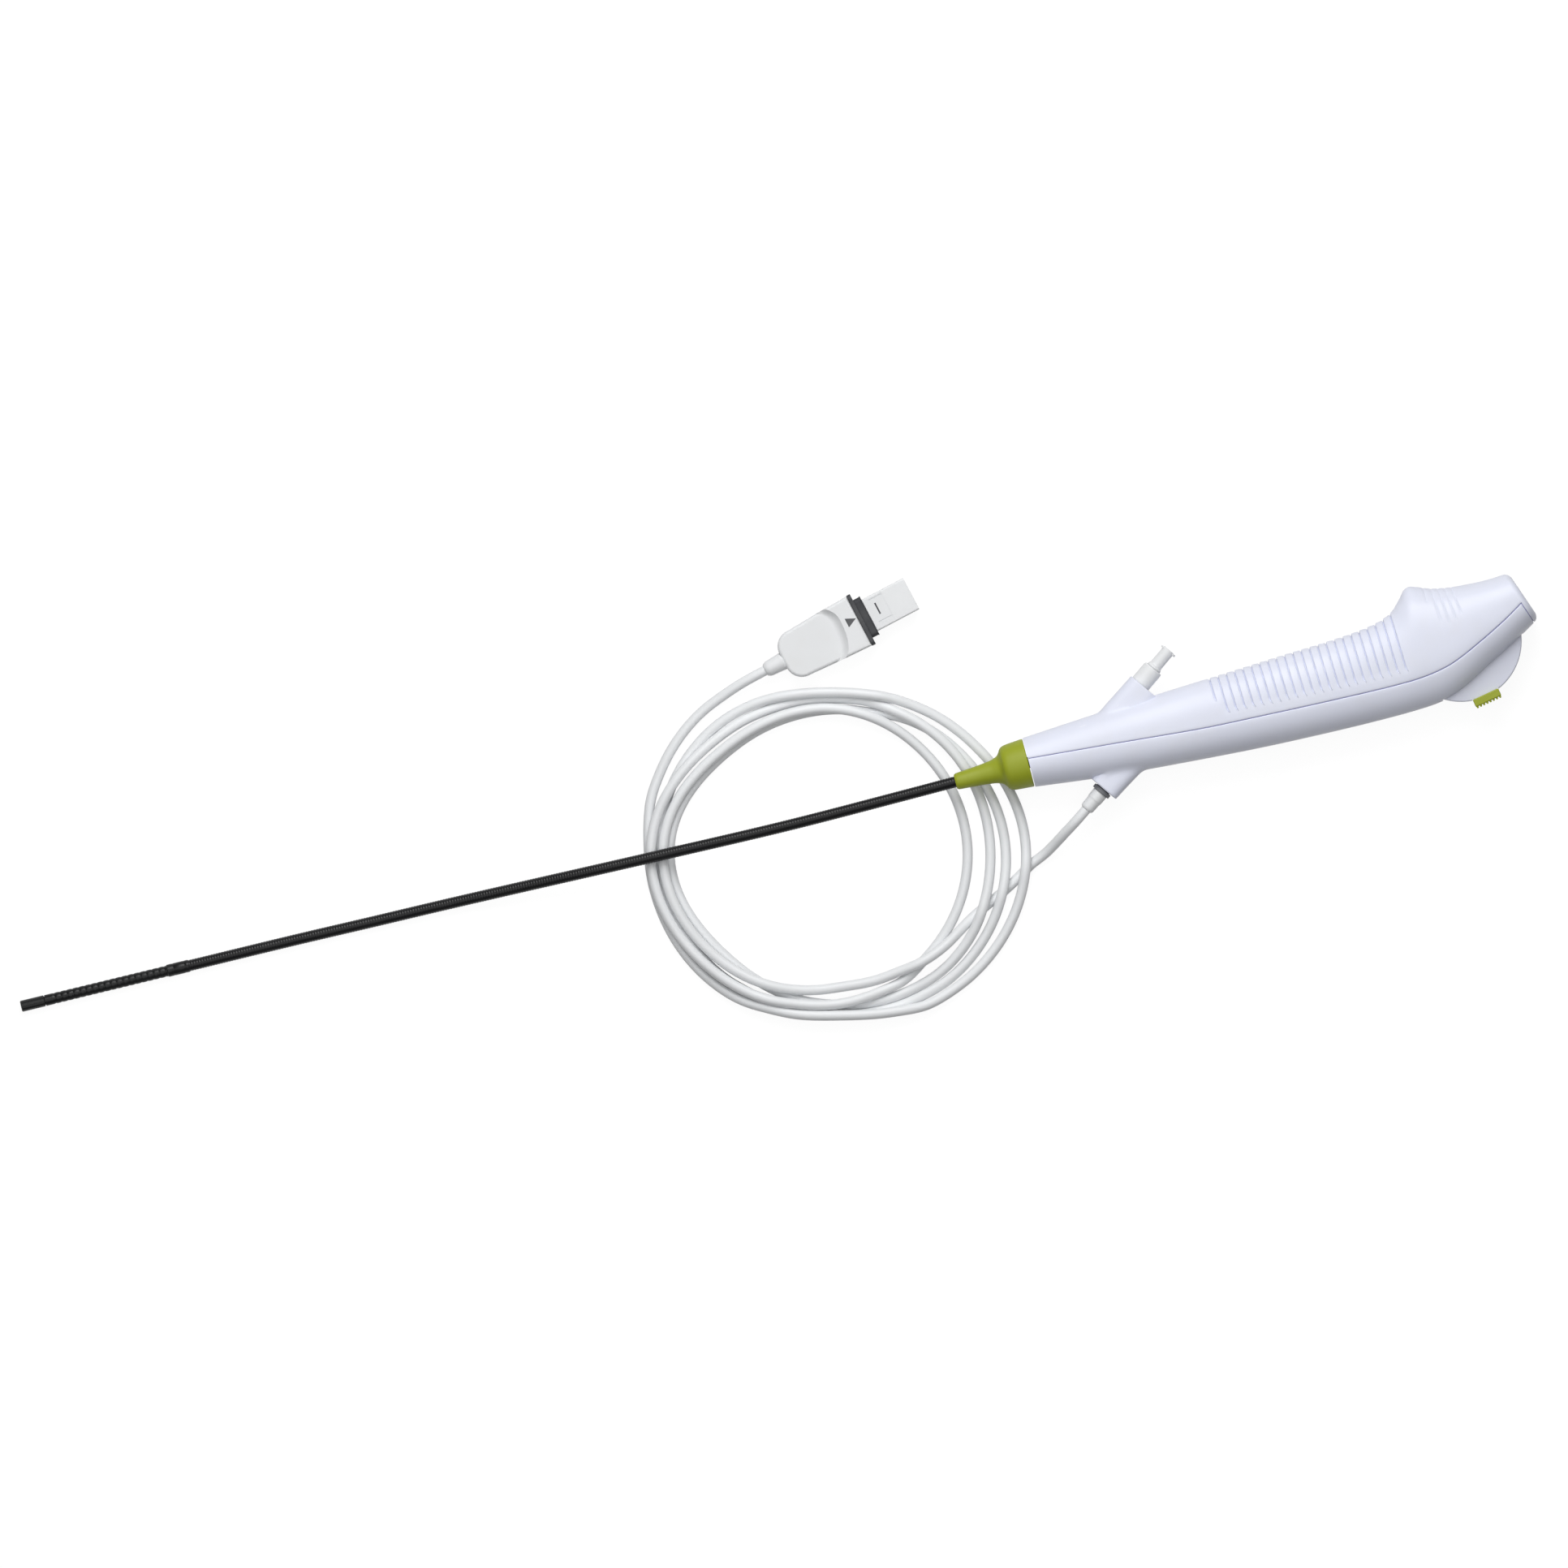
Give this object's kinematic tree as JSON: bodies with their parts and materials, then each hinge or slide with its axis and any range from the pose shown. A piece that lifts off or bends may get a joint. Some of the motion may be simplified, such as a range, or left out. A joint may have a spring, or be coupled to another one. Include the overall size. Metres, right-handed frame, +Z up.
{
  "type": "flexible endoscope",
  "caption": "Flexible endoscope lying on its side: ribbed handle with lever wheel, jointed bending tube, working-channel port, and a coiled cable with a flat plug.",
  "frame": {"origin": "on the table under the middle of the handle and shaft, the free cable left out", "axes": "+X from the shaft tip towards the handle head, +Y towards the finger side and the channel port, +Z up from the table"},
  "size_m": [0.7386, 0.197, 0.032],
  "materials": {
    "handle_white": "satin",
    "lime_rubber": "satin",
    "tube_black": "satin",
    "cable_jacket": "satin",
    "pale_plastic": "satin",
    "dark_grey": "matte",
    "seal_rubber": "matte",
    "steel": "brushed",
    "board_green": "satin",
    "lens_glass": "gloss",
    "lamp": "gloss"
  },
  "bodies": {
    "scope": {"front_shell": "handle_white", "back_shell": "handle_white", "bend_relief": "lime_rubber", "tube_anchor": "pale_plastic", "wheel_axle": "steel", "wire_stop_block": "pale_plastic", "conduit_front": "steel", "conduit_back": "steel", "port_collar": "pale_plastic", "luer_port": "handle_white", "channel_branch": "pale_plastic", "channel_tube": "pale_plastic", "circuit_board": "board_green", "camera_lead": "tube_black", "board_lead": "tube_black", "cable_gland": "dark_grey", "cable_boot": "pale_plastic", "insertion_tube": "tube_black", "joint_sleeve": "tube_black", "bending_cover": "tube_black", "cable_lead": "cable_jacket", "cable_coil": "cable_jacket", "cable_tail": "cable_jacket", "plug_boot": "pale_plastic", "plug_top": "pale_plastic", "plug_base": "pale_plastic", "plug_flange": "dark_grey", "plug_seal": "seal_rubber", "plug_shroud": "pale_plastic", "plug_board": "board_green"},
    "lever": {"control_wheel": "handle_white", "thumb_pad": "lime_rubber", "wire_drum": "pale_plastic"},
    "wire_front": {"pull_wire_front": "steel"},
    "wire_back": {"pull_wire_back": "steel"},
    "link_01": {"vertebra_01": "steel"},
    "link_02": {"vertebra_02": "steel"},
    "link_03": {"vertebra_03": "steel"},
    "link_04": {"vertebra_04": "steel"},
    "link_05": {"vertebra_05": "steel"},
    "link_06": {"vertebra_06": "steel"},
    "link_07": {"vertebra_07": "steel"},
    "link_08": {"vertebra_08": "steel"},
    "link_09": {"vertebra_09": "steel"},
    "link_10": {"vertebra_10": "steel"},
    "link_11": {"vertebra_11": "steel"},
    "link_12": {"vertebra_12": "steel"},
    "link_13": {"vertebra_13": "steel"},
    "link_14": {"vertebra_14": "steel"},
    "link_15": {"vertebra_15": "steel"},
    "link_16": {"vertebra_16": "steel"},
    "link_17": {"vertebra_17": "steel"},
    "link_18": {"vertebra_18": "steel"},
    "tip": {"tip_housing": "tube_black", "camera_lens": "lens_glass", "led_left": "lamp", "led_right": "lamp"}
  },
  "joints": [
    {"name": "lever_turn", "type": "hinge", "parent": "scope", "child": "lever", "pos_m": [0.33182, -0.00118, 0.016], "axis": [0, 0, 1], "range_deg": [-24, 24], "deforming": ["bending_cover"]},
    {"name": "wire_front_pull", "type": "slide", "parent": "scope", "child": "wire_front", "axis": [1, 0, 0], "range_m": [-0.00274, 0.00274]},
    {"name": "wire_back_pull", "type": "slide", "parent": "scope", "child": "wire_back", "axis": [1, 0, 0], "range_m": [-0.00274, 0.00274]},
    {"name": "bend_01", "type": "hinge", "parent": "scope", "child": "link_01", "pos_m": [-0.29928, 0.00426, 0.003], "axis": [0, 0, 1], "range_deg": [-6.32, 6.32]},
    {"name": "bend_02", "type": "hinge", "parent": "link_01", "child": "link_02", "pos_m": [-0.30225, 0.00433, 0.003], "axis": [0, 0, 1], "range_deg": [-6.32, 6.32]},
    {"name": "bend_03", "type": "hinge", "parent": "link_02", "child": "link_03", "pos_m": [-0.30522, 0.00439, 0.003], "axis": [0, 0, 1], "range_deg": [-6.32, 6.32]},
    {"name": "bend_04", "type": "hinge", "parent": "link_03", "child": "link_04", "pos_m": [-0.30819, 0.00445, 0.003], "axis": [0, 0, 1], "range_deg": [-6.32, 6.32]},
    {"name": "bend_05", "type": "hinge", "parent": "link_04", "child": "link_05", "pos_m": [-0.31116, 0.00451, 0.003], "axis": [0, 0, 1], "range_deg": [-6.32, 6.32]},
    {"name": "bend_06", "type": "hinge", "parent": "link_05", "child": "link_06", "pos_m": [-0.31413, 0.00457, 0.003], "axis": [0, 0, 1], "range_deg": [-6.32, 6.32]},
    {"name": "bend_07", "type": "hinge", "parent": "link_06", "child": "link_07", "pos_m": [-0.3171, 0.00463, 0.003], "axis": [0, 0, 1], "range_deg": [-6.32, 6.32]},
    {"name": "bend_08", "type": "hinge", "parent": "link_07", "child": "link_08", "pos_m": [-0.32006, 0.00469, 0.003], "axis": [0, 0, 1], "range_deg": [-6.32, 6.32]},
    {"name": "bend_09", "type": "hinge", "parent": "link_08", "child": "link_09", "pos_m": [-0.32303, 0.00475, 0.003], "axis": [0, 0, 1], "range_deg": [-6.32, 6.32]},
    {"name": "bend_10", "type": "hinge", "parent": "link_09", "child": "link_10", "pos_m": [-0.326, 0.00481, 0.003], "axis": [0, 0, 1], "range_deg": [-6.32, 6.32]},
    {"name": "bend_11", "type": "hinge", "parent": "link_10", "child": "link_11", "pos_m": [-0.32897, 0.00487, 0.003], "axis": [0, 0, 1], "range_deg": [-6.32, 6.32]},
    {"name": "bend_12", "type": "hinge", "parent": "link_11", "child": "link_12", "pos_m": [-0.33194, 0.00493, 0.003], "axis": [0, 0, 1], "range_deg": [-6.32, 6.32]},
    {"name": "bend_13", "type": "hinge", "parent": "link_12", "child": "link_13", "pos_m": [-0.33491, 0.00499, 0.003], "axis": [0, 0, 1], "range_deg": [-6.32, 6.32]},
    {"name": "bend_14", "type": "hinge", "parent": "link_13", "child": "link_14", "pos_m": [-0.33788, 0.00505, 0.003], "axis": [0, 0, 1], "range_deg": [-6.32, 6.32]},
    {"name": "bend_15", "type": "hinge", "parent": "link_14", "child": "link_15", "pos_m": [-0.34085, 0.00511, 0.003], "axis": [0, 0, 1], "range_deg": [-6.32, 6.32]},
    {"name": "bend_16", "type": "hinge", "parent": "link_15", "child": "link_16", "pos_m": [-0.34382, 0.00517, 0.003], "axis": [0, 0, 1], "range_deg": [-6.32, 6.32]},
    {"name": "bend_17", "type": "hinge", "parent": "link_16", "child": "link_17", "pos_m": [-0.34679, 0.00524, 0.003], "axis": [0, 0, 1], "range_deg": [-6.32, 6.32]},
    {"name": "bend_18", "type": "hinge", "parent": "link_17", "child": "link_18", "pos_m": [-0.34976, 0.0053, 0.003], "axis": [0, 0, 1], "range_deg": [-6.32, 6.32]},
    {"name": "bend_19", "type": "hinge", "parent": "link_18", "child": "tip", "pos_m": [-0.35273, 0.00536, 0.003], "axis": [0, 0, 1], "range_deg": [-6.32, 6.32]}
  ],
  "couplings": [
    {"joint": "wire_front_pull", "follows": "lever_turn", "m_per_rad": -0.0065},
    {"joint": "wire_back_pull", "follows": "lever_turn", "m_per_rad": 0.0065},
    {"joint": "bend_01", "follows": "lever_turn", "ratio": 0.26316},
    {"joint": "bend_02", "follows": "lever_turn", "ratio": 0.26316},
    {"joint": "bend_03", "follows": "lever_turn", "ratio": 0.26316},
    {"joint": "bend_04", "follows": "lever_turn", "ratio": 0.26316},
    {"joint": "bend_05", "follows": "lever_turn", "ratio": 0.26316},
    {"joint": "bend_06", "follows": "lever_turn", "ratio": 0.26316},
    {"joint": "bend_07", "follows": "lever_turn", "ratio": 0.26316},
    {"joint": "bend_08", "follows": "lever_turn", "ratio": 0.26316},
    {"joint": "bend_09", "follows": "lever_turn", "ratio": 0.26316},
    {"joint": "bend_10", "follows": "lever_turn", "ratio": 0.26316},
    {"joint": "bend_11", "follows": "lever_turn", "ratio": 0.26316},
    {"joint": "bend_12", "follows": "lever_turn", "ratio": 0.26316},
    {"joint": "bend_13", "follows": "lever_turn", "ratio": 0.26316},
    {"joint": "bend_14", "follows": "lever_turn", "ratio": 0.26316},
    {"joint": "bend_15", "follows": "lever_turn", "ratio": 0.26316},
    {"joint": "bend_16", "follows": "lever_turn", "ratio": 0.26316},
    {"joint": "bend_17", "follows": "lever_turn", "ratio": 0.26316},
    {"joint": "bend_18", "follows": "lever_turn", "ratio": 0.26316},
    {"joint": "bend_19", "follows": "lever_turn", "ratio": 0.26316}
  ]
}
